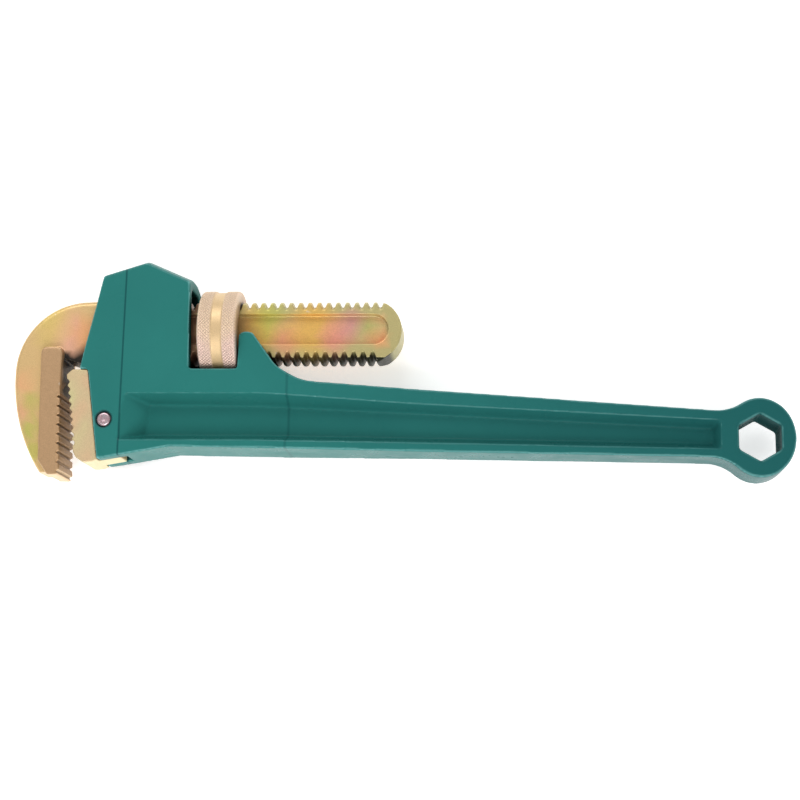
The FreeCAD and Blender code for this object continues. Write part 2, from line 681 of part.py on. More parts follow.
def make_leaf():
    """Bowed flat spring under the passage roof, with a hole for its rivet."""
    half = size("leaf_length / 2")
    top = size("passage_top")
    bow = size("leaf_bow")
    thick = size("leaf_thickness")
    middle = size("leaf_x")
    edges = [
        Part.Arc(Vec(middle - half, top - bow, 0), Vec(middle, top, 0), Vec(middle + half, top - bow, 0)),
        Part.LineSegment(Vec(middle + half, top - bow, 0), Vec(middle + half, top - bow - thick, 0)),
        Part.Arc(Vec(middle + half, top - bow - thick, 0), Vec(middle, top - thick, 0),
                 Vec(middle - half, top - bow - thick, 0)),
        Part.LineSegment(Vec(middle - half, top - bow - thick, 0), Vec(middle - half, top - bow, 0)),
    ]
    face = Part.Face(Part.Wire([edge.toShape() for edge in edges]))
    width = size("shank_thickness - 2 * passage_round")
    leaf = face.extrude(Vec(0, 0, width))
    leaf.translate(Vec(0, 0, -width / 2))
    hole = cylinder("leaf_hole", "rivet_diameter / 2", "4 * leaf_thickness",
                    ("leaf_x", "passage_top - 3 * leaf_thickness", "0"), (0, 1, 0))
    return cut("leaf_cut", feature("leaf_blank", leaf), hole)


def rivet_outline(clearance):
    """Half section of the rivet: countersunk head in the roof, plain shank, flush at the spring."""
    roof = "roof_peak_y + roof_crown - rivet_sink"
    body = "rivet_diameter / 2"
    head = "rivet_head / 2"
    return [
        ("0", "passage_top - leaf_thickness - %s" % clearance),
        (body, "passage_top - leaf_thickness - %s" % clearance),
        (body, roof + " - rivet_head_height"),
        (head, roof + " - rivet_rim"),
        (head, roof),
        ("0", roof),
    ]


def make_rivet(name, clearance="0"):
    sketch = outline(name + "_section", "side", rivet_outline(clearance))
    turned = doc.addObject("Part::Revolution", name)
    turned.Source = sketch
    turned.Axis = Vec(0, 1, 0)
    turned.Base = Vec(0, 0, 0)
    turned.Angle = 360
    turned.Solid = True
    turned.Placement = FreeCAD.Placement(Vec(size("leaf_x"), 0, 0), FreeCAD.Rotation())
    return turned


# ---------------------------------------------------------------- handle and housing

def roof_cutter(name, start, end):
    """Space above one crowned slope of the roof, between two points of its side edge."""
    half = size("housing_width / 2")
    crown = size("roof_crown")
    radius = (half ** 2 + crown ** 2) / (2 * crown)
    first = Vec(size(start[0]), size(start[1]), 0)
    last = Vec(size(end[0]), size(end[1]), 0)
    run = (last - first).normalize()
    up = Vec(-run.y, run.x, 0)
    if up.y < 0:
        up = up * -1
    reach = size("2 * housing_width")
    margin = size("cut_margin")
    length = (last - first).Length + 2 * reach
    centre = first - run * reach + up * (crown - radius)
    block = Part.makeBox(length, 2 * reach, 2 * reach, Vec(0, -radius / 2, -reach))
    block = block.cut(Part.makeCylinder(radius, length + 2 * margin, Vec(-margin, -radius, 0), Vec(1, 0, 0)))
    turn = FreeCAD.Rotation(Vec(1, 0, 0), run)
    block.Placement = FreeCAD.Placement(centre + up * radius, turn).multiply(block.Placement)
    return block


def beam_recess(side):
    """Tapered recess in one side of the housing and grip: wide at the face, narrow at its floor."""
    end = "neck_x + beam_end_reach"
    slope = "beam_end_slope"
    draft = "beam_end_draft"
    face = outline("beam_face_%d" % side, "side", [
        ("beam_left", "beam_top"),
        ("beam_bend", "beam_top"),
        (end, "beam_end_top"),
        (end, "beam_end_bottom"),
        ("beam_bend", "beam_bottom"),
        ("beam_left - beam_front_lean", "beam_bottom"),
    ], "%d * housing_width / 2" % side)
    floor = outline("beam_floor_%d" % side, "side", [
        ("beam_left_floor", "beam_top_floor"),
        ("beam_bend", "beam_top_floor - beam_floor_drop"),
        (end + " - " + slope, "beam_end_top - " + draft),
        (end + " - " + slope, "beam_end_bottom + " + draft),
        ("beam_bend", "beam_bottom_floor"),
        ("beam_left_floor - beam_front_lean / 2", "beam_bottom_floor"),
    ], "%d * web_thickness / 2" % side)
    loft = doc.addObject("Part::Loft", "beam_recess_%d" % side)
    loft.Sections = [face, floor]
    loft.Solid = True
    loft.Ruled = True
    return loft


def make_handle():
    crown = " + roof_crown"
    eye_x = "neck_x + eye_reach"
    rear = "nut_x - nut_width / 2 - rear_gap"
    ear = "nut_x + nut_width / 2 + ear_gap"
    notch_side = "-nut_radius - nut_floor_gap + notch_side_rise"
    profile = outline("handle_outline", "side", [
        ("roof_front_x", "roof_front_y" + crown),
        ("roof_peak_x", "roof_peak_y" + crown),
        (rear, "roof_rear_y" + crown),
        (rear + " + rear_lean", notch_side),
        (ear, notch_side),
        (ear, "ear_top"),
        (ear + " + ear_length", "ear_top"),
        ("ear_foot_x", "ear_foot_y"),
        ("grip_top_x", "grip_top_y"),
        (eye_x + " - eye_half_length / 2", "neck_top_y - neck_fall"),
        (eye_x + " - eye_half_length / 2", "neck_bottom_y"),
        ("sole_x", "sole_y"),
        ("toe_x", "toe_y"),
        ("seat_top_x", "seat_top_y"),
        ("lip_x", "seat_top_y"),
    ])
    prism = extrude("handle_prism", profile, "housing_width")
    eye_outline = doc.addObject("Part::Ellipse", "eye_outline")
    eye_outline.setExpression("MajorRadius", bound("eye_half_height"))
    eye_outline.setExpression("MinorRadius", bound("eye_half_length"))
    spot = Vec(size(eye_x), size("eye_y"), size("-housing_width / 2"))
    eye_outline.Placement = FreeCAD.Placement(spot, FreeCAD.Rotation(Vec(0, 0, 1), 90))
    eye = doc.addObject("Part::Extrusion", "eye_prism")
    eye.Base = eye_outline
    eye.DirMode = "Custom"
    eye.Dir = Vec(0, 0, 1)
    eye.Solid = True
    eye.setExpression("LengthFwd", bound("housing_width"))
    blank = join("handle_blank", prism, eye)

    def neck_edge(edge):
        first, last = edge.Vertexes[0].Point, edge.Vertexes[-1].Point
        upright = abs(first.x - last.x) < 1e-4 and abs(first.y - last.y) < 1e-4
        near_neck = size("neck_x") - 2 < first.x < size(eye_x) + 2
        return upright and near_neck and edge.Length > 5

    blank = rounded("handle_corners", blank, [
        ("ear_fillet", upright_at([(ear, "ear_top"), (ear + " + ear_length", "ear_top")])),
        ("root_fillet", upright_at([("ear_foot_x", "ear_foot_y")])),
        ("grip_fillet", upright_at([("grip_top_x", "grip_top_y")])),
        ("neck_fillet", neck_edge),
    ])
    half = "housing_width / 2"
    widths = [
        ("lip_x - front_lead", "front_width / 2"),
        ("crease_x", half),
        ("root_x", half),
        ("grip_x", "grip_width / 2"),
        (eye_x + " + eye_half_length + 2 * cut_margin", "eye_width / 2"),
    ]
    lower = [(place, "-" + width) for place, width in reversed(widths)]
    thickness = extrude("handle_thickness", outline("handle_plan", "plan", widths + lower),
                        "10 * housing_width")
    body = overlap("handle_body", blank, thickness)
    front_roof = feature("front_roof", roof_cutter(
        "front_roof", ("roof_front_x", "roof_front_y"), ("roof_peak_x", "roof_peak_y")))
    rear_zone = outline("rear_roof_zone", "side", [
        ("roof_peak_x - housing_width", "seat_top_y"),
        (rear + " + 2 * cut_margin", "seat_top_y + housing_width"),
        (rear + " + 2 * cut_margin", "roof_peak_y + housing_width"),
        ("roof_peak_x - housing_width", "roof_peak_y + housing_width"),
    ])
    rear_roof = overlap("rear_roof", feature("rear_roof_block", roof_cutter(
        "rear_roof", ("roof_peak_x", "roof_peak_y"), (rear, "roof_rear_y"))),
        extrude("rear_roof_space", rear_zone, "3 * housing_width"))
    body = cut("handle_roof", body, front_roof, rear_roof)
    body = cut("handle_beams", body, beam_recess(1), beam_recess(-1))

    passage = outline("passage_outline", "section", [
        ("passage_floor", "-shank_thickness / 2 - passage_gap"),
        ("passage_top", "-shank_thickness / 2 - passage_gap"),
        ("passage_top", "shank_thickness / 2 + passage_gap"),
        ("passage_floor", "shank_thickness / 2 + passage_gap"),
    ], "(lip_x + ear_foot_x) / 2")
    passage = extrude("passage_prism", passage, "ear_foot_x - lip_x + housing_width")
    passage = rounded("passage", passage, [("passage_round", lambda edge: along((1, 0, 0))(edge)
                                            and edge.CenterOfMass.y > 0)])
    floor_radius = "((housing_width / 2) ^ 2 + notch_side_rise ^ 2) / (2 * notch_side_rise)"
    foot = rear + " + rear_lean"
    notch = cylinder("nut_notch", floor_radius, ear + " - (" + foot + ")",
                     (foot, "-nut_radius - nut_floor_gap + " + floor_radius, "0"), (1, 0, 0))
    slot_top = "tongue_top + slot_gap"
    slot = extrude("slot", outline("slot_outline", "side", [
        ("lip_x - 5 * cut_margin", slot_top),
        ("tongue_end + slot_clear", slot_top),
        ("tongue_end + slot_clear", "toe_y - 5 * cut_margin"),
        ("lip_x - 5 * cut_margin", "toe_y - 5 * cut_margin"),
    ]), "tongue_width + 2 * slot_gap")
    through = "housing_width + 4 * cut_margin"
    pin_hole = cylinder("handle_pin_hole", "pin_diameter / 2", through,
                        ("pin_x", "pin_y", "-(%s) / 2" % through), (0, 0, 1))
    bore = cylinder("coil_bore", "coil_diameter / 2 + coil_bore_gap", "coil_bore_depth + 5 * cut_margin",
                    ("coil_x", "passage_floor - coil_bore_depth", "0"), (0, 1, 0))
    hexagon = doc.addObject("Part::Prism", "eye_hexagon")
    hexagon.Polygon = 6
    hexagon.setExpression("Circumradius", bound("eye_hex / sqrt(3)"))
    hexagon.setExpression("Height", bound(through))
    spot = Vec(size(eye_x), size("eye_y"), size("-(%s) / 2" % through))
    hexagon.Placement = FreeCAD.Placement(spot, FreeCAD.Rotation(Vec(0, 0, 1), 90))
    rivet_space = make_rivet("rivet_space", "2 * cut_margin")
    return cut("handle_cut", body, passage, notch, slot, pin_hole, bore, hexagon, rivet_space)


# ---------------------------------------------------------------- sub-parts

makers = {
    "handle": make_handle,
    "hook_jaw": make_hook,
    "adjusting_nut": make_nut,
    "heel_jaw": make_heel,
    "heel_jaw_pin": make_pin,
    "coil_spring": make_coil,
    "flat_spring": make_leaf,
    "flat_spring_rivet": lambda: make_rivet("rivet"),
}

sub_parts = {}
for name, maker in makers.items():
    sub_part = maker()
    sub_part.Label = name
    sub_parts[name] = sub_part
doc.recompute()

for item in doc.Objects:
    if "Invalid" in item.State or "Error" in item.State:
        raise RuntimeError("%s did not recompute" % item.Label)


def tight_box(shape):
    """Exact box of a shape. The plain one is loose around helical faces."""
    return shape.optimalBoundingBox(False, False)


whole = FreeCAD.BoundBox()
for name, sub_part in sub_parts.items():
    shape = sub_part.Shape
    if shape.isNull() or not shape.isValid():
        raise RuntimeError("%s has no valid shape" % name)
    whole.add(tight_box(shape))

# The whole tool's bottom centre becomes the origin.
shift = Vec(-(whole.XMin + whole.XMax) / 2, -(whole.YMin + whole.YMax) / 2, -whole.ZMin)
os.makedirs("parts", exist_ok=True)
for name, sub_part in sub_parts.items():
    move = FreeCAD.Placement(shift, FreeCAD.Rotation())
    sub_part.Placement = move.multiply(sub_part.Placement)
doc.recompute()
for name, sub_part in sub_parts.items():
    sub_part.Shape.exportStep("parts/%s.step" % name)
    box = tight_box(sub_part.Shape)
    print("%-18s solids %d volume %9.1f  x %.2f..%.2f  y %.2f..%.2f  z %.2f..%.2f" % (
        name, len(sub_part.Shape.Solids), sub_part.Shape.Volume,
        box.XMin, box.XMax, box.YMin, box.YMax, box.ZMin, box.ZMax))
print("origin of the design frame: %.3f, %.3f, %.3f" % (shift.x, shift.y, shift.z))
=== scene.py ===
import bmesh
import bpy
import json
import math
from mathutils import Color, Matrix, Vector, noise


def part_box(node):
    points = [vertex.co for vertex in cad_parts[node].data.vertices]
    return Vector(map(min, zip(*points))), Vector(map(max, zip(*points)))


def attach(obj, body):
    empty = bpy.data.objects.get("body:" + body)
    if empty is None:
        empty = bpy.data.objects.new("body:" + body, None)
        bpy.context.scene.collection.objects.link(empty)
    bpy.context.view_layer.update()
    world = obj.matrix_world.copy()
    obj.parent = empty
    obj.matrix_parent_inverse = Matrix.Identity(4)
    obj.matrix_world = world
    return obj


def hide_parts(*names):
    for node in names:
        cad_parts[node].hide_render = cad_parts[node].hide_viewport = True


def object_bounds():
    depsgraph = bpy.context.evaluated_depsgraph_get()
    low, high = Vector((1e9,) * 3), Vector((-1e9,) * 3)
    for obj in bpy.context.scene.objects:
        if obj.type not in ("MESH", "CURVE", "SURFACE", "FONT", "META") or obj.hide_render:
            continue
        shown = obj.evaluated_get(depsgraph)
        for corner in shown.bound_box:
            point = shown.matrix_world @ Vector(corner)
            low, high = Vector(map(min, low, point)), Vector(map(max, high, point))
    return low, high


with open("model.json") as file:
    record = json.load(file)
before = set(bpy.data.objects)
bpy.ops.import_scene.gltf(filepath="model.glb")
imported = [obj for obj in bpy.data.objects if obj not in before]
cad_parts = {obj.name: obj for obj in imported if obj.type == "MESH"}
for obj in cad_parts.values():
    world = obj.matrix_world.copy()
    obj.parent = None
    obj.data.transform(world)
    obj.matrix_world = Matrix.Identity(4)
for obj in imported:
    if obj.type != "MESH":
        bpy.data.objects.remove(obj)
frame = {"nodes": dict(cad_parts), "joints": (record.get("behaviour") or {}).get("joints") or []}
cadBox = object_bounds()
nodes = frame["nodes"]
joints = {joint["name"]: joint for joint in frame["joints"]}
nutCentre = Vector(joints["nut_spin"]["pos_m"])
millimetre = 0.001
print("frame loaded:", len(nodes), "parts")


# camera and light
cameraSettings = {
    "lens": 70.7,  # mm
    "sensor": 36.0,  # mm
    "offset": (0.12662, -0.15817, 0.624),  # from the adjusting nut
    "tiltAcross": 11.783,  # degrees, towards the housing roof
    "tiltAlong": 4.834,  # degrees, towards the jaws
}

lightSettings = {
    "world": 0.40,
    "key": {"place": (0.15, -1.05, 0.85), "size": (0.9, 0.7), "power": 8.5, "shine": 0.6},
    "strip": {"place": (-0.10, -0.60, 1.07), "size": (2.2, 0.10), "power": 3.2, "shine": 1.0},
    "back": {"place": (-0.35, 1.05, 1.0), "size": (1.2, 0.6), "power": 9.0, "shine": 0.2},
}


def addCamera(settings):
    data = bpy.data.cameras.new("studioCamera")
    data.lens = settings["lens"]
    data.sensor_width = settings["sensor"]
    data.clip_start = 0.01
    camera = bpy.data.objects.new("studioCamera", data)
    bpy.context.collection.objects.link(camera)
    camera.location = nutCentre + Vector(settings["offset"])
    along = math.radians(settings["tiltAlong"])
    across = math.radians(settings["tiltAcross"])
    back = Vector((math.sin(along) * math.cos(across), -math.sin(across),
                   math.cos(along) * math.cos(across)))
    up = back.cross(Vector((1, 0, 0))).normalized()  # keeps the wrench's length level
    right = up.cross(back)
    camera.rotation_mode = "QUATERNION"
    camera.rotation_quaternion = Matrix((right, up, back)).transposed().to_quaternion()
    bpy.context.scene.camera = camera


def addAreaLight(name, settings):
    data = bpy.data.lights.new(name, "AREA")
    data.shape = "RECTANGLE"
    data.size, data.size_y = settings["size"]
    data.energy = settings["power"]
    data.specular_factor = settings["shine"]
    lamp = bpy.data.objects.new(name, data)
    bpy.context.collection.objects.link(lamp)
    lamp.location = settings["place"]
    lamp.rotation_mode = "QUATERNION"
    lamp.rotation_quaternion = (-Vector(settings["place"])).to_track_quat("-Z", "Y")


def addWorld(strength):
    world = bpy.data.worlds.new("softStudio")
    world.use_nodes = True
    background = world.node_tree.nodes["Background"]
    background.inputs["Color"].default_value = (1, 1, 1, 1)
    background.inputs["Strength"].default_value = strength
    bpy.context.scene.world = world


addCamera(cameraSettings)
addWorld(lightSettings["world"])
for lampName in ("key", "strip", "back"):
    addAreaLight(lampName + "Light", lightSettings[lampName])
bpy.context.scene.view_settings.view_transform = "Standard"
print("camera and light ready")


# shader helpers

# linear colour of an 8-bit screen colour
def screenColour(red, green, blue):
    return tuple(Color((red / 255, green / 255, blue / 255)).from_srgb_to_scene_linear())


def newMaterial(name):
    material = bpy.data.materials.new(name)
    material.use_nodes = True
    tree = material.node_tree
    return material, tree, tree.nodes["Principled BSDF"]


def feed(tree, node, inputs):
    for socket, value in inputs.items():
        if isinstance(value, bpy.types.NodeSocket):
            tree.links.new(value, node.inputs[socket])
        else:
            node.inputs[socket].default_value = value


def addNode(tree, kind, inputs, **options):
    node = tree.nodes.new(kind)
    for option, value in options.items():
        setattr(node, option, value)
    feed(tree, node, inputs)
    return node


def placeCoordinates(tree):
    return tree.nodes.new("ShaderNodeTexCoord").outputs["Object"]


def grain(tree, coordinates, scale, detail=3.0, roughness=0.55):
    inputs = {"Vector": coordinates, "Scale": scale, "Detail": detail, "Roughness": roughness}
    return addNode(tree, "ShaderNodeTexNoise", inputs).outputs["Fac"]


# value moved from one range to another, by default from where most of the grain lies
def spread(tree, value, low, high, fromLow=0.3, fromHigh=0.7):
    inputs = {"Value": value, "From Min": fromLow, "From Max": fromHigh, "To Min": low, "To Max": high}
    return addNode(tree, "ShaderNodeMapRange", inputs).outputs["Result"]


def mixColours(tree, share, first, second):
    node = tree.nodes.new("ShaderNodeMix")
    node.data_type = "RGBA"
    pairs = ((node.inputs["Factor"], share), (node.inputs[6], first), (node.inputs[7], second))
    for socket, value in pairs:
        if isinstance(value, bpy.types.NodeSocket):
            tree.links.new(value, socket)
        elif isinstance(value, tuple):
            socket.default_value = value + (1.0,)
        else:
            socket.default_value = value
    return node.outputs[2]


# chain of bumps: each is a height value, its depth in metres and a strength
def addBump(tree, surface, heights):
    normal = None
    for height, depth, strength in heights:
        inputs = {"Height": height, "Distance": depth, "Strength": strength}
        if normal:
            inputs["Normal"] = normal
        normal = addNode(tree, "ShaderNodeBump", inputs).outputs["Normal"]
    feed(tree, surface, {"Normal": normal})


def pointed(tree):
    return tree.nodes.new("ShaderNodeNewGeometry").outputs["Pointiness"]


creviceRays = 6


# 0 in narrow gaps between pieces and 1 in the open, reach in mm
def crevice(tree, reach):
    node = addNode(tree, "ShaderNodeAmbientOcclusion", {"Distance": reach * millimetre})
    node.samples = creviceRays
    return node.outputs["AO"]


# 1 on a thin line across the wrench at a place along it, 0 elsewhere
def creaseLine(tree, coordinates, place, halfWidth):
    along = addNode(tree, "ShaderNodeSeparateXYZ", {"Vector": coordinates}).outputs["X"]
    offset = addNode(tree, "ShaderNodeMath", {0: along, 1: place}, operation="SUBTRACT").outputs[0]
    distance = addNode(tree, "ShaderNodeMath", {0: offset}, operation="ABSOLUTE").outputs[0]
    core = 0.3 * halfWidth
    return spread(tree, distance, 1.0, 0.0, core * millimetre, halfWidth * millimetre)


# floor: white paper, with painted shade only in the narrow gaps under the tool

floorSettings = {
    "size": 6.0,
    "colour": (0.93, 0.93, 0.93),
    "paintedGapShade": (0.02, 0.015, 0.01),
    "glow": 0.55,  # keeps the paper's shadow pale
    "gapReach": 12.0,  # mm
    "gapSpan": (0.30, 0.62),  # openness at which the paper is dark and fully lit
    "drop": 0.2,  # mm below the nut
    "fibre": 900.0,  # grain of the paper
}


def addFloor(settings):
    mesh = bpy.data.meshes.new("floorMesh")
    shape = bmesh.new()
    bmesh.ops.create_grid(shape, x_segments=8, y_segments=8, size=settings["size"] / 2)
    shape.to_mesh(mesh)
    shape.free()
    floor = bpy.data.objects.new("floor", mesh)
    bpy.context.collection.objects.link(floor)
    floor.location = (0, 0, cadBox[0].z - settings["drop"] * millimetre)
    material, tree, surface = newMaterial("floorPaper")
    fibre = grain(tree, placeCoordinates(tree), settings["fibre"])
    # painted shade: the paper turns dark and stops glowing in narrow gaps under the tool
    openness = spread(tree, crevice(tree, settings["gapReach"]), 0.0, 1.0, *settings["gapSpan"])
    glow = spread(tree, openness, 0.0, settings["glow"], 0.0, 1.0)
    paper = mixColours(tree, openness, settings["paintedGapShade"], settings["colour"])
    feed(tree, surface, {"Base Color": paper, "Roughness": 0.9, "Specular IOR Level": 0.1,
                         "Emission Color": (1, 1, 1, 1), "Emission Strength": glow})
    addBump(tree, surface, [(fibre, 0.00002, 0.1)])
    mesh.materials.append(material)


addFloor(floorSettings)
print("floor ready")


# mesh helpers

weldDistance = 1e-7  # metres


def newPiece(name, mesh, body, replaced):
    piece = bpy.data.objects.new(name, mesh)
    bpy.context.collection.objects.link(piece)
    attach(piece, body)
    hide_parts(replaced)


def smoothShading(mesh):
    mesh.polygons.foreach_set("use_smooth", [True] * len(mesh.polygons))


# mesh of a part with rounded edges, as a casting or forging has them
def forgedCopy(nodeName, settings):
    source = nodes[nodeName]
    mesh = source.data.copy()
    shape = bmesh.new()
    shape.from_mesh(mesh)
    shape.transform(source.matrix_world)
    bmesh.ops.remove_doubles(shape, verts=shape.verts, dist=weldDistance)
    shape.to_mesh(mesh)
    shape.free()
    mesh.materials.clear()
    work = bpy.data.objects.new("work", mesh)
    bpy.context.collection.objects.link(work)
    voxels = work.modifiers.new("voxels", "REMESH")
    voxels.mode = "VOXEL"
    voxels.voxel_size = settings["voxel"] * millimetre
    voxels.use_smooth_shade = True
    soften = work.modifiers.new("soften", "SMOOTH")
    soften.factor = settings["softening"]
    soften.iterations = settings["passes"]
    thin = work.modifiers.new("thin", "DECIMATE")
    thin.ratio = settings["kept"]
    even = work.modifiers.new("even", "WEIGHTED_NORMAL")
    even.weight = 60
    evaluated = work.evaluated_get(bpy.context.evaluated_depsgraph_get())
    result = bpy.data.meshes.new_from_object(evaluated)
    bpy.data.objects.remove(work)
    print(nodeName, "remeshed:", len(result.polygons), "faces")
    return result


# stores a colour for each vertex
def paintVertices(mesh, colourAt):
    layer = mesh.color_attributes.new("bloom", "FLOAT_COLOR", "POINT")
    values = []
    for vertex in mesh.vertices:
        values.extend(colourAt(vertex.co, vertex.normal))
        values.append(1.0)
    layer.data.foreach_set("color", values)


def blendColour(first, second, share):
    return tuple(a + (b - a) * share for a, b in zip(first, second))


def eased(value, low, high):
    share = min(1.0, max(0.0, (value - low) / (high - low)))
    return share * share * (3 - 2 * share)


def vertexColour(tree, name):
    return addNode(tree, "ShaderNodeAttribute", {}, attribute_name=name).outputs["Color"]


# handle: one casting in teal enamel

handleSettings = {
    "mesh": {"voxel": 0.5, "softening": 0.5, "passes": 10, "kept": 0.5},
    "paint": screenColour(46, 124, 118),
    "eyePaint": screenColour(34, 97, 96),
    "gripSpan": (-0.06, 0.15),  # where the paint turns from one to the other, in metres
    "cloud": {"grain": 28.0, "share": 0.14},
    # darker tone of the paint's clouds, also used as painted shade in inner corners and along the creases
    "deepPaintAndShade": screenColour(20, 72, 73),
    # painted highlight on the outer edges
    "edgeHighlightPaint": screenColour(124, 188, 186),
    "shadePaint": screenColour(14, 50, 50),
    "gapShadePaint": (0.006, 0.03, 0.03),
    "hollowSpan": (0.40, 0.475),  # pointiness of inner corners
    "edgeHighlightSpan": (0.517, 0.555),  # pointiness of outer edges
    "edgeHighlightShare": 0.9,
    # painted shade deep in the pocket
    "pocket": {"reach": 20.0, "share": 0.9, "span": (0.26, 0.56)},  # reach in mm
    # painted shade in narrow gaps between parts
    "gap": {"reach": 1.2, "share": 0.85, "span": (0.25, 0.85)},
    # painted shade ring around the pin
    "pinShadeRing": {"share": 0.9, "span": (0.3, 0.9)},  # mm outside the pin
    "peel": {"grain": 420.0, "depth": 0.00008, "strength": 0.2},
    "sand": {"grain": 1500.0, "depth": 0.00002, "strength": 0.12},
    "roughness": (0.24, 0.36),
    "specular": 0.05,  # in the open, none in deep pockets
    "coat": 0.04,
    "openSpan": (0.45, 0.85),
    "coatRoughness": 0.15,
    # painted shade along the creases
    "creaseShadeLines": [(-39.05, 0.55, 0.75), (28.95, 0.8, 0.35)],  # x from the nut, half width in mm, strength
}


# paint that turns from the housing's to the eye's shade, with its clouds
def enamelBase(tree, place, settings):
    cloud = spread(tree, grain(tree, place, settings["cloud"]["grain"], 4.0), 0.0, 1.0)
    along = addNode(tree, "ShaderNodeSeparateXYZ", {"Vector": place}).outputs["X"]
    share = spread(tree, along, 0.0, 1.0, *settings["gripSpan"])
    base = mixColours(tree, share, settings["paint"], settings["eyePaint"])
    clouded = spread(tree, cloud, settings["cloud"]["share"], 0.0, 0.0, 1.0)
    return mixColours(tree, clouded, base, settings["deepPaintAndShade"])


def shadedGaps(tree, base, gap, colour):
    shade = spread(tree, crevice(tree, gap["reach"]), gap["share"], 0.0, *gap["span"])
    return mixColours(tree, shade, base, colour)


# painted shade: dark ring around the heel jaw's pin
def pinShadeRing(tree, place, settings):
    low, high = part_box("heel_jaw_pin")
    fromPin = addNode(tree, "ShaderNodeVectorMath", {0: place, 1: (low + high) / 2}, operation="SUBTRACT")
    flat = addNode(tree, "ShaderNodeVectorMath", {0: fromPin.outputs[0], 1: (1, 1, 0)}, operation="MULTIPLY")
    length = addNode(tree, "ShaderNodeVectorMath", {0: flat.outputs[0]}, operation="LENGTH")
    radius = (high.x - low.x) / 2
    inner, outer = settings["span"]
    return spread(tree, length.outputs["Value"], settings["share"], 0.0,
                  radius + inner * millimetre, radius + outer * millimetre)


def makeEnamel(settings):
    material, tree, surface = newMaterial("tealEnamel")
    place = placeCoordinates(tree)
    base = enamelBase(tree, place, settings)
    # painted shade in inner corners
    hollow = spread(tree, pointed(tree), 1.0, 0.0, *settings["hollowSpan"])
    base = mixColours(tree, hollow, base, settings["deepPaintAndShade"])
    # painted highlight on the outer edges
    edge = spread(tree, pointed(tree), 0.0, settings["edgeHighlightShare"], *settings["edgeHighlightSpan"])
    base = mixColours(tree, edge, base, settings["edgeHighlightPaint"])
    # painted shade along the creases
    for offset, halfWidth, strength in settings["creaseShadeLines"]:
        line = creaseLine(tree, place, nutCentre.x + offset * millimetre, halfWidth)
        faded = addNode(tree, "ShaderNodeMath", {0: line, 1: strength}, operation="MULTIPLY").outputs[0]
        base = mixColours(tree, faded, base, settings["deepPaintAndShade"])
    # painted shade deep in the pocket and in narrow gaps between parts
    wide = crevice(tree, settings["pocket"]["reach"])
    pocket = spread(tree, wide, settings["pocket"]["share"], 0.0, *settings["pocket"]["span"])
    base = mixColours(tree, pocket, base, settings["shadePaint"])
    base = shadedGaps(tree, base, settings["gap"], settings["gapShadePaint"])
    # painted shade ring around the pin
    base = mixColours(tree, pinShadeRing(tree, place, settings["pinShadeRing"]), base, settings["shadePaint"])
    peel, sand = settings["peel"], settings["sand"]
    rough = spread(tree, grain(tree, place, 90.0), *settings["roughness"])
    specular = spread(tree, wide, 0.0, settings["specular"], *settings["openSpan"])
    coat = spread(tree, wide, 0.0, settings["coat"], *settings["openSpan"])
    feed(tree, surface, {"Base Color": base, "Roughness": rough, "Specular IOR Level": specular,
                         "Coat Weight": coat, "Coat Roughness": settings["coatRoughness"]})
    addBump(tree, surface, [
        (grain(tree, place, peel["grain"], 2.0, 0.4), peel["depth"], peel["strength"]),
        (grain(tree, place, sand["grain"], 3.0, 0.6), sand["depth"], sand["strength"]),
    ])
    return material


def makeHandle(settings):
    mesh = forgedCopy("handle", settings["mesh"])
    mesh.materials.append(makeEnamel(settings))
    newPiece("castHandle", mesh, "handle_body", "handle")
    print("handle ready")


makeHandle(handleSettings)


# hook jaw: forged, yellow-plated, with ground block sides

hookSettings = {
    "mesh": {"voxel": 0.32, "softening": 0.5, "passes": 3, "kept": 0.42},
    "gold": screenColour(228, 192, 134),
    "block": screenColour(197, 159, 118),
    # painted light on the toe's faces that point to -Y
    "sole": screenColour(232, 200, 155),
    "tooth": screenColour(156, 118, 72),
    "green": screenColour(190, 182, 124),
    "shade": screenColour(34, 28, 22),
    # grease colour that also stands in for painted shade beside the nut
    "greaseAndShade": screenColour(112, 74, 58),
    "shankStart": -48,  # mm from the nut
    # throat: where painted shade darkens the hook's underside
    "throat": (-66.5, -50),  # mm from the nut, along the wrench
    "blockSide": 7.15,  # mm from the middle to the block's flanks
    "bloomGrain": 60,
    "plating": {"grain": 2200.0, "rough": (0.30, 0.46), "metallic": 0.4, "darkening": 0.9},
    # bloom of the plating: x and y from the nut, radius in mm, colour, strength
    "blooms": [
        (-63.0, -1.0, 7.0, screenColour(246, 176, 165), 0.9),
        (-56.0, -1.5, 6.0, screenColour(243, 176, 118), 0.9),
        (-70.0, 2.0, 8.0, screenColour(232, 205, 110), 0.6),
        (-81.0, -22.0, 4.5, screenColour(246, 186, 135), 0.8),
        (-80.0, -33.0, 4.0, screenColour(244, 180, 140), 0.7),
        (-77.5, -30.0, 3.6, screenColour(198, 196, 100), 0.9),
        (-77.0, -41.0, 3.6, screenColour(196, 198, 96), 0.9),
        (-75.6, -50.0, 3.2, screenColour(206, 196, 104), 0.9),
        (-84.0, -28.0, 3.0, screenColour(238, 200, 140), 0.8),
        (16.0, 1.0, 8.0, screenColour(236, 180, 84), 0.9),
        (20.0, 5.0, 7.0, screenColour(190, 200, 92), 0.7),
        (27.0, -3.0, 6.0, screenColour(236, 160, 120), 0.85),
        (38.0, 1.0, 9.0, screenColour(236, 186, 92), 0.85),
        (48.0, -2.0, 6.0, screenColour(240, 158, 138), 0.9),
        (54.0, 2.0, 5.0, screenColour(214, 150, 150), 0.8),
        (60.5, 0.5, 4.0, screenColour(178, 186, 110), 0.85),
        (65.5, -3.0, 3.5, screenColour(245, 165, 110), 0.85),
    ],
}


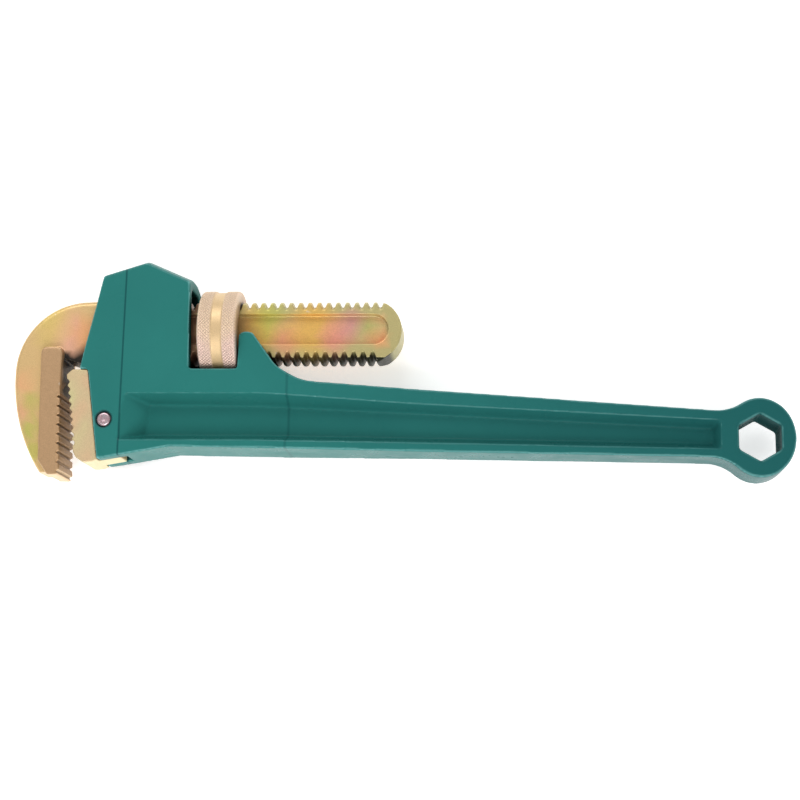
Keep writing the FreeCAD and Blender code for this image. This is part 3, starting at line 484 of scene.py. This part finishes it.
# rims, greased thread whose grease colour also stands in for painted shade beside the nut, and painted shade
# on the dark underside of the shank
def shankColour(colour, spot, normal, settings):
    rimShare = eased(abs(spot.y - 0.6), 4.9, 6.9)
    colour = blendColour(colour, settings["green"], 0.85 * max(rimShare, eased(spot.x, 66.0, 69.5)))
    # painted shade on the shank's underside
    underside = eased(-spot.y, 8.6, 10.6) * (1 - eased(abs(normal.z), 0.65, 0.95))
    colour = blendColour(colour, settings["shade"], 0.95 * underside)
    # grease with painted shade beside the nut
    greasedAndShaded = eased(spot.x, -24.0, -20.0) * (1 - eased(spot.x, -9.0, -7.5))
    return blendColour(colour, settings["greaseAndShade"], 0.9 * greasedAndShaded)


def bloomed(colour, point, spot, settings):
    patch = noise.noise(point * settings["bloomGrain"]) * 0.5
    for x, y, radius, bloom, strength in settings["blooms"]:
        distance = math.hypot(spot.x - x, (spot.y - y) * 0.8)
        share = 1 - eased(distance, radius * (0.3 + patch), radius * 1.5)
        colour = blendColour(colour, bloom, strength * share)
    return colour


def hookColour(settings):
    low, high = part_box("hook_jaw")
    middle = (low.z + high.z) / 2
    blockSide = settings["blockSide"] * millimetre
    blockFade = 0.4 * millimetre

    def colourAt(point, normal):
        spot = (point - nutCentre) / millimetre
        colour = settings["gold"]
        if spot.x > settings["shankStart"]:
            colour = shankColour(colour, spot, normal, settings)
        colour = bloomed(colour, point, spot, settings)
        # painted shade in the throat under the shank
        if settings["throat"][0] < spot.x < settings["throat"][1]:
            throat = eased(-spot.y, 7.5, 10.0) * (1 - eased(-spot.y, 26.0, 28.5))
            colour = blendColour(colour, settings["shade"], throat)
        if spot.x < -60 and abs(point.z - middle) > blockSide:
            ground = eased(abs(point.z - middle), blockSide, blockSide + blockFade)
            colour = blendColour(colour, settings["block"], ground)
        if spot.y < -26.5 and -67.5 < spot.x < -55:
            colour = blendColour(colour, settings["tooth"], eased(normal.x, 0.0, 0.7))
        # painted light on the toe's faces that point to -Y
        if spot.y < -56:
            colour = blendColour(colour, settings["sole"], eased(-normal.y, 0.3, 0.8))
        return colour

    return colourAt


platingSettings = {
    "mottle": (0.86, 1.10),  # how dark and light the fine mottling goes
    # painted shade in hollows
    "hollow": {"colour": (0.05, 0.032, 0.02), "span": (0.38, 0.48)},
    # painted highlight on edges
    "edge": {"colour": (0.93, 0.82, 0.66), "share": 0.4, "span": (0.53, 0.64)},
    # painted shade in narrow gaps between parts
    "gap": {"reach": 1.5, "share": 0.9, "span": (0.2, 0.8)},
    "paintedGapShade": (0.03, 0.02, 0.014),
}


# chromate plating: stored bloom colours, fine mottling, a painted highlight on the edges, and painted shade
# in the hollows and in narrow gaps
def makePlating(name, finish):
    material, tree, surface = newMaterial(name)
    place = placeCoordinates(tree)
    grainSize = finish["grain"]
    hollows, edges = platingSettings["hollow"], platingSettings["edge"]
    # stored colours: plating bloom together with painted shade and light set on each vertex
    base = vertexColour(tree, "bloom")
    mottle = spread(tree, grain(tree, place, grainSize, 4.0, 0.65), *platingSettings["mottle"])
    tinted = addNode(tree, "ShaderNodeVectorMath", {0: base}, operation="SCALE")
    tree.links.new(mottle, tinted.inputs["Scale"])
    base = tinted.outputs["Vector"]
    # painted shade in hollows
    hollow = spread(tree, pointed(tree), finish["darkening"], 0.0, *hollows["span"])
    base = mixColours(tree, hollow, base, hollows["colour"])
    # painted highlight on edges
    edge = spread(tree, pointed(tree), 0.0, edges["share"], *edges["span"])
    base = mixColours(tree, edge, base, edges["colour"])
    base = shadedGaps(tree, base, platingSettings["gap"], platingSettings["paintedGapShade"])
    rough = spread(tree, grain(tree, place, grainSize * 0.4), *finish["rough"])
    feed(tree, surface, {"Base Color": base, "Metallic": finish["metallic"], "Roughness": rough})
    addBump(tree, surface, [(grain(tree, place, grainSize * 1.2, 2.0), 0.00004, 0.5),
                            (grain(tree, place, grainSize * 0.25, 2.0), 0.00012, 0.25)])
    return material


def makeHookJaw(settings):
    mesh = forgedCopy("hook_jaw", settings["mesh"])
    paintVertices(mesh, hookColour(settings))
    mesh.materials.append(makePlating("yellowPlating", settings["plating"]))
    newPiece("forgedHookJaw", mesh, "jaw_body", "hook_jaw")
    print("hook jaw ready")


makeHookJaw(hookSettings)


# heel jaw: matte cream plating

heelSettings = {
    "mesh": {"voxel": 0.26, "softening": 0.5, "passes": 10, "kept": 0.9},
    "plating": {"grain": 2800.0, "rough": (0.45, 0.62), "metallic": 0.3, "darkening": 0.8},
    "patchGrain": 120,
    "cream": screenColour(214, 191, 148),
    "peach": screenColour(220, 186, 146),
    "green": screenColour(214, 205, 150),
    # painted light on the faces that point to -Y
    "sole": screenColour(236, 222, 180),
}


def heelColour(settings):
    def colourAt(point, normal):
        patch = noise.noise(point * settings["patchGrain"])
        colour = blendColour(settings["cream"], settings["peach"], eased(patch, -0.1, 0.5))
        colour = blendColour(colour, settings["green"], 0.8 * eased(-patch, 0.0, 0.5))
        # painted light on the faces that point to -Y
        return blendColour(colour, settings["sole"], eased(-normal.y, 0.4, 0.9))

    return colourAt


def makeHeelJaw(settings):
    mesh = forgedCopy("heel_jaw", settings["mesh"])
    paintVertices(mesh, heelColour(settings))
    mesh.materials.append(makePlating("heelPlating", settings["plating"]))
    newPiece("pressedHeelJaw", mesh, "handle_body", "heel_jaw")
    print("heel jaw ready")


makeHeelJaw(heelSettings)


# adjusting nut: knurled ring with a smooth groove and an inner thread, sizes in mm

nutSettings = {
    "radius": 18.0,
    "width": 15.9,
    "grooveHalf": 1.8,
    "grooveDepth": 0.6,
    "shoulder": 0.7,
    "endRound": 1.5,
    "knurlAround": 82,  # diamonds around the nut
    "knurlPitch": 1.4,  # along the nut
    "knurlDepth": 0.38,
    "steps": 738,  # around the nut, nine for each diamond
    "rowStep": 0.19,
    "boreRadius": 13.42,
    "ridgeRadius": 11.32,
    "ridgeHalfCrest": 0.38,
    "ridgeHalfBase": 1.28,
    "pitch": 3.87,
    "threadPhase": 0.5,  # nut's middle from the middle of a ridge on the +Y side
    "plating": {"grain": 2600.0, "rough": (0.32, 0.48), "metallic": 0.3, "darkening": 0.5},
    "patchGrain": 70,
    "peach": screenColour(240, 212, 182),
    # pink tone at random, also painted light growing towards the -Y side
    "pinkAndLitSide": screenColour(246, 214, 200),
    "yellow": screenColour(230, 198, 150),
    # painted shade in the knurl valleys and the bore
    "valleyShade": screenColour(160, 118, 100),
}


# height of the diamond knurl, 0 in its grooves and 1 on its points
def knurlHeight(turn, x, settings):
    across = x / settings["knurlPitch"]
    around = turn / (2 * math.pi) * settings["knurlAround"]
    first = abs((across + around) % 1.0 - 0.5) * 2
    second = abs((across - around) % 1.0 - 0.5) * 2
    return 1 - max(first, second) ** 1.5


def nutOuterRadius(turn, x, settings):
    half = settings["width"] / 2
    radius = settings["radius"]
    inGroove = 1 - eased(abs(x), settings["grooveHalf"], settings["grooveHalf"] + settings["shoulder"])
    fromEnd = half - abs(x)
    rounding = settings["endRound"]
    drop = 0.0
    if fromEnd < rounding:
        drop = rounding - math.sqrt(max(0.0, rounding ** 2 - (rounding - fromEnd) ** 2))
    knurl = (1 - knurlHeight(turn, x, settings)) * settings["knurlDepth"]
    knurl *= (1 - inGroove) * eased(fromEnd, 0.5, 1.2)
    return radius - drop - knurl - inGroove * settings["grooveDepth"]


def nutBoreRadius(turn, x, settings):
    pitch = settings["pitch"]
    travel = x + settings["threadPhase"] - pitch * turn / (2 * math.pi)
    distance = abs((travel + pitch / 2) % pitch - pitch / 2)
    flank = settings["ridgeHalfBase"] - settings["ridgeHalfCrest"]
    share = min(1.0, max(0.0, (distance - settings["ridgeHalfCrest"]) / flank))
    return settings["ridgeRadius"] + (settings["boreRadius"] - settings["ridgeRadius"]) * share


def nutColour(settings):
    def colourAt(point, normal):
        spot = (point - nutCentre) / millimetre
        radius = math.hypot(spot.y, spot.z)
        turn = math.atan2(spot.z, spot.y)
        patch = noise.noise(point * settings["patchGrain"])
        # pink tone at random, with painted light growing towards the -Y side
        colour = blendColour(settings["peach"], settings["pinkAndLitSide"], eased(patch - spot.y / 22, -0.3, 0.6))
        nearGroove = 1 - eased(abs(spot.x), settings["grooveHalf"], settings["grooveHalf"] + 1.0)
        colour = blendColour(colour, settings["yellow"], nearGroove)
        if radius > settings["radius"] - 2 and nearGroove < 0.5:
            # painted shade in the knurl valleys
            depth = 1 - knurlHeight(turn, spot.x, settings)
            colour = blendColour(colour, settings["valleyShade"], 0.42 * eased(depth, 0.6, 1.0))
        # painted shade in the bore
        if radius < settings["boreRadius"] + 0.3:
            colour = blendColour(colour, settings["valleyShade"], 0.7)
        return colour

    return colourAt


def addRing(shape, x, steps, radiusAt):
    ring = []
    for step in range(steps):
        turn = 2 * math.pi * step / steps
        radius = radiusAt(turn, x)
        spot = Vector((x, radius * math.cos(turn), radius * math.sin(turn))) * millimetre
        ring.append(shape.verts.new(nutCentre + spot))
    return ring


def bridge(shape, first, second):
    count = len(first)
    for step in range(count):
        after = (step + 1) % count
        shape.faces.new([first[step], second[step], second[after], first[after]])


def makeNut(settings):
    shape = bmesh.new()
    half = settings["width"] / 2
    rows = round(settings["width"] / settings["rowStep"])
    places = [-half + settings["width"] * row / rows for row in range(rows + 1)]
    outer = [addRing(shape, x, settings["steps"], lambda turn, x: nutOuterRadius(turn, x, settings))
             for x in places]
    for first, second in zip(outer, outer[1:]):
        bridge(shape, second, first)
    boreRows = places[::2] + ([places[-1]] if len(places) % 2 == 0 else [])
    inner = [addRing(shape, x, settings["steps"] // 3, lambda turn, x: nutBoreRadius(turn, x, settings))
             for x in boreRows]
    for first, second in zip(inner, inner[1:]):
        bridge(shape, first, second)
    for big, small in ((outer[0], inner[0]), (outer[-1], inner[-1])):
        edges = [edge for ring in (big, small) for vert in ring for edge in vert.link_edges
                 if edge.other_vert(vert) in ring and edge.is_boundary]
        bmesh.ops.bridge_loops(shape, edges=list(set(edges)))
    bmesh.ops.recalc_face_normals(shape, faces=shape.faces)
    mesh = bpy.data.meshes.new("knurledNutMesh")
    shape.to_mesh(mesh)
    shape.free()
    smoothShading(mesh)

    paintVertices(mesh, nutColour(settings))
    mesh.materials.append(makePlating("nutPlating", settings["plating"]))
    newPiece("knurledNut", mesh, "nut_body", "adjusting_nut")
    print("adjusting nut ready:", len(mesh.polygons), "faces")


makeNut(nutSettings)


# turned steel: heel jaw pin and roof rivet

pinSettings = {
    "steps": 96,
    "face": screenColour(200, 188, 192),
    "blush": screenColour(206, 165, 172),
    # painted shade in hollows
    "hollowShade": screenColour(60, 62, 66),
    "hollowShadeShare": 0.8,
    "hollowShadeSpan": (0.40, 0.49),  # pointiness of hollows
    "metallic": 0.75,
    "roughness": (0.22, 0.42),
    "stainGrain": 900.0,
    "roughGrain": 1400.0,
    "pits": {"grain": 1800.0, "depth": 0.00006, "strength": 0.5},
    "clearance": 0.01,  # mm
    # radius or inset from the rim, and depth below the end, in mm
    "pinCentre": [(0.0, 0.25), (0.35, 0.22), (0.8, 0.10), (1.3, 0.03), (1.9, 0.02)],
    "pinRim": [(1.0, 0.05), (0.65, 0.16), (0.36, 0.40), (0.16, 0.75), (0.04, 1.1), (0.0, 1.5)],
    "rivetRim": [(0.35, 0.03), (0.1, 0.1), (0.0, 0.28), (0.05, 0.42)],
    "rivetBody": 0.56,  # share of the head
}


def makeBrightSteel(settings):
    material, tree, surface = newMaterial("brightSteel")
    place = placeCoordinates(tree)
    stain = spread(tree, grain(tree, place, settings["stainGrain"], 3.0), 0.0, 1.0)
    base = mixColours(tree, stain, settings["face"], settings["blush"])
    # painted shade in hollows
    hollow = spread(tree, pointed(tree), settings["hollowShadeShare"], 0.0, *settings["hollowShadeSpan"])
    base = mixColours(tree, hollow, base, settings["hollowShade"])
    rough = spread(tree, grain(tree, place, settings["roughGrain"]), *settings["roughness"])
    feed(tree, surface, {"Base Color": base, "Metallic": settings["metallic"], "Roughness": rough})
    pits = settings["pits"]
    addBump(tree, surface, [(grain(tree, place, pits["grain"], 3.0), pits["depth"], pits["strength"])])
    return material


# closed turned mesh: the profile is a list of radius and place along the axis, in mm
def turnedMesh(name, centre, axis, profile, steps):
    shape = bmesh.new()
    side = axis.orthogonal().normalized()
    other = axis.cross(side)
    rings = []
    for radius, along in profile:
        middle = centre + axis * along * millimetre
        if radius == 0:
            rings.append([shape.verts.new(middle)])
            continue
        ring = []
        for step in range(steps):
            turn = 2 * math.pi * step / steps
            out = (side * math.cos(turn) + other * math.sin(turn)) * radius * millimetre
            ring.append(shape.verts.new(middle + out))
        rings.append(ring)
    for first, second in zip(rings, rings[1:]):
        for step in range(steps):
            after = (step + 1) % steps
            if len(first) == 1:
                shape.faces.new((first[0], second[step], second[after]))
            elif len(second) == 1:
                shape.faces.new((first[step], second[0], first[after]))
            else:
                shape.faces.new((first[step], second[step], second[after], first[after]))
    bmesh.ops.recalc_face_normals(shape, faces=shape.faces)
    mesh = bpy.data.meshes.new(name)
    shape.to_mesh(mesh)
    shape.free()
    smoothShading(mesh)
    return mesh


def makePin(settings, finish):
    low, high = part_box("heel_jaw_pin")
    radius = (high.x - low.x) / 2 / millimetre - settings["clearance"]
    half = (high.z - low.z) / 2 / millimetre
    end = [(ring, half - depth) for ring, depth in settings["pinCentre"]]
    end += [(radius - inset, half - depth) for inset, depth in settings["pinRim"]]
    profile = end + [(radius, 0.0)] + [(ring, -along) for ring, along in reversed(end)]
    mesh = turnedMesh("jawPinMesh", (low + high) / 2, Vector((0, 0, 1)), profile, settings["steps"])
    mesh.materials.append(finish)
    newPiece("peenedPin", mesh, "handle_body", "heel_jaw_pin")


def makeRivet(settings, finish):
    low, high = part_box("flat_spring_rivet")
    head = (high.x - low.x) / 2 / millimetre - settings["clearance"]
    body = head * settings["rivetBody"]
    length = (high.y - low.y) / millimetre
    profile = [(0.0, length - 0.12), (head * 0.5, length - 0.05)]
    profile += [(head - inset, length - depth) for inset, depth in settings["rivetRim"]]
    profile += [(body + 0.06, length - 1.66), (body, length - 1.9), (body, length * 0.5)]
    profile += [(body, 0.25), (body - 0.12, 0.06), (0.0, 0.02)]  # foot at the spring
    base = Vector(((low.x + high.x) / 2, low.y, (low.z + high.z) / 2))
    mesh = turnedMesh("roofRivetMesh", base, Vector((0, 1, 0)), profile, settings["steps"])
    mesh.materials.append(finish)
    newPiece("roofRivet", mesh, "handle_body", "flat_spring_rivet")


brightSteel = makeBrightSteel(pinSettings)
makePin(pinSettings, brightSteel)
makeRivet(pinSettings, brightSteel)
print("pin and rivet ready")


# springs keep their exact shape and get oiled spring steel

springSettings = {
    "dark": (0.06, 0.065, 0.075),
    "light": (0.16, 0.16, 0.17),
    "metallic": 0.9,
    "roughness": (0.22, 0.42),
    "oilGrain": 500.0,
    "roughGrain": 900.0,
    "pits": {"grain": 3000.0, "depth": 0.00003, "strength": 0.4},
}


def makeSpringSteel(settings):
    material, tree, surface = newMaterial("springSteel")
    place = placeCoordinates(tree)
    oil = spread(tree, grain(tree, place, settings["oilGrain"]), 0.0, 1.0)
    base = mixColours(tree, oil, settings["dark"], settings["light"])
    rough = spread(tree, grain(tree, place, settings["roughGrain"]), *settings["roughness"])
    feed(tree, surface, {"Base Color": base, "Metallic": settings["metallic"], "Roughness": rough})
    pits = settings["pits"]
    addBump(tree, surface, [(grain(tree, place, pits["grain"], 2.0), pits["depth"], pits["strength"])])
    return material


springSteel = makeSpringSteel(springSettings)
for springName in ("coil_spring", "flat_spring"):
    nodes[springName].data.materials.clear()
    nodes[springName].data.materials.append(springSteel)
print("springs ready")
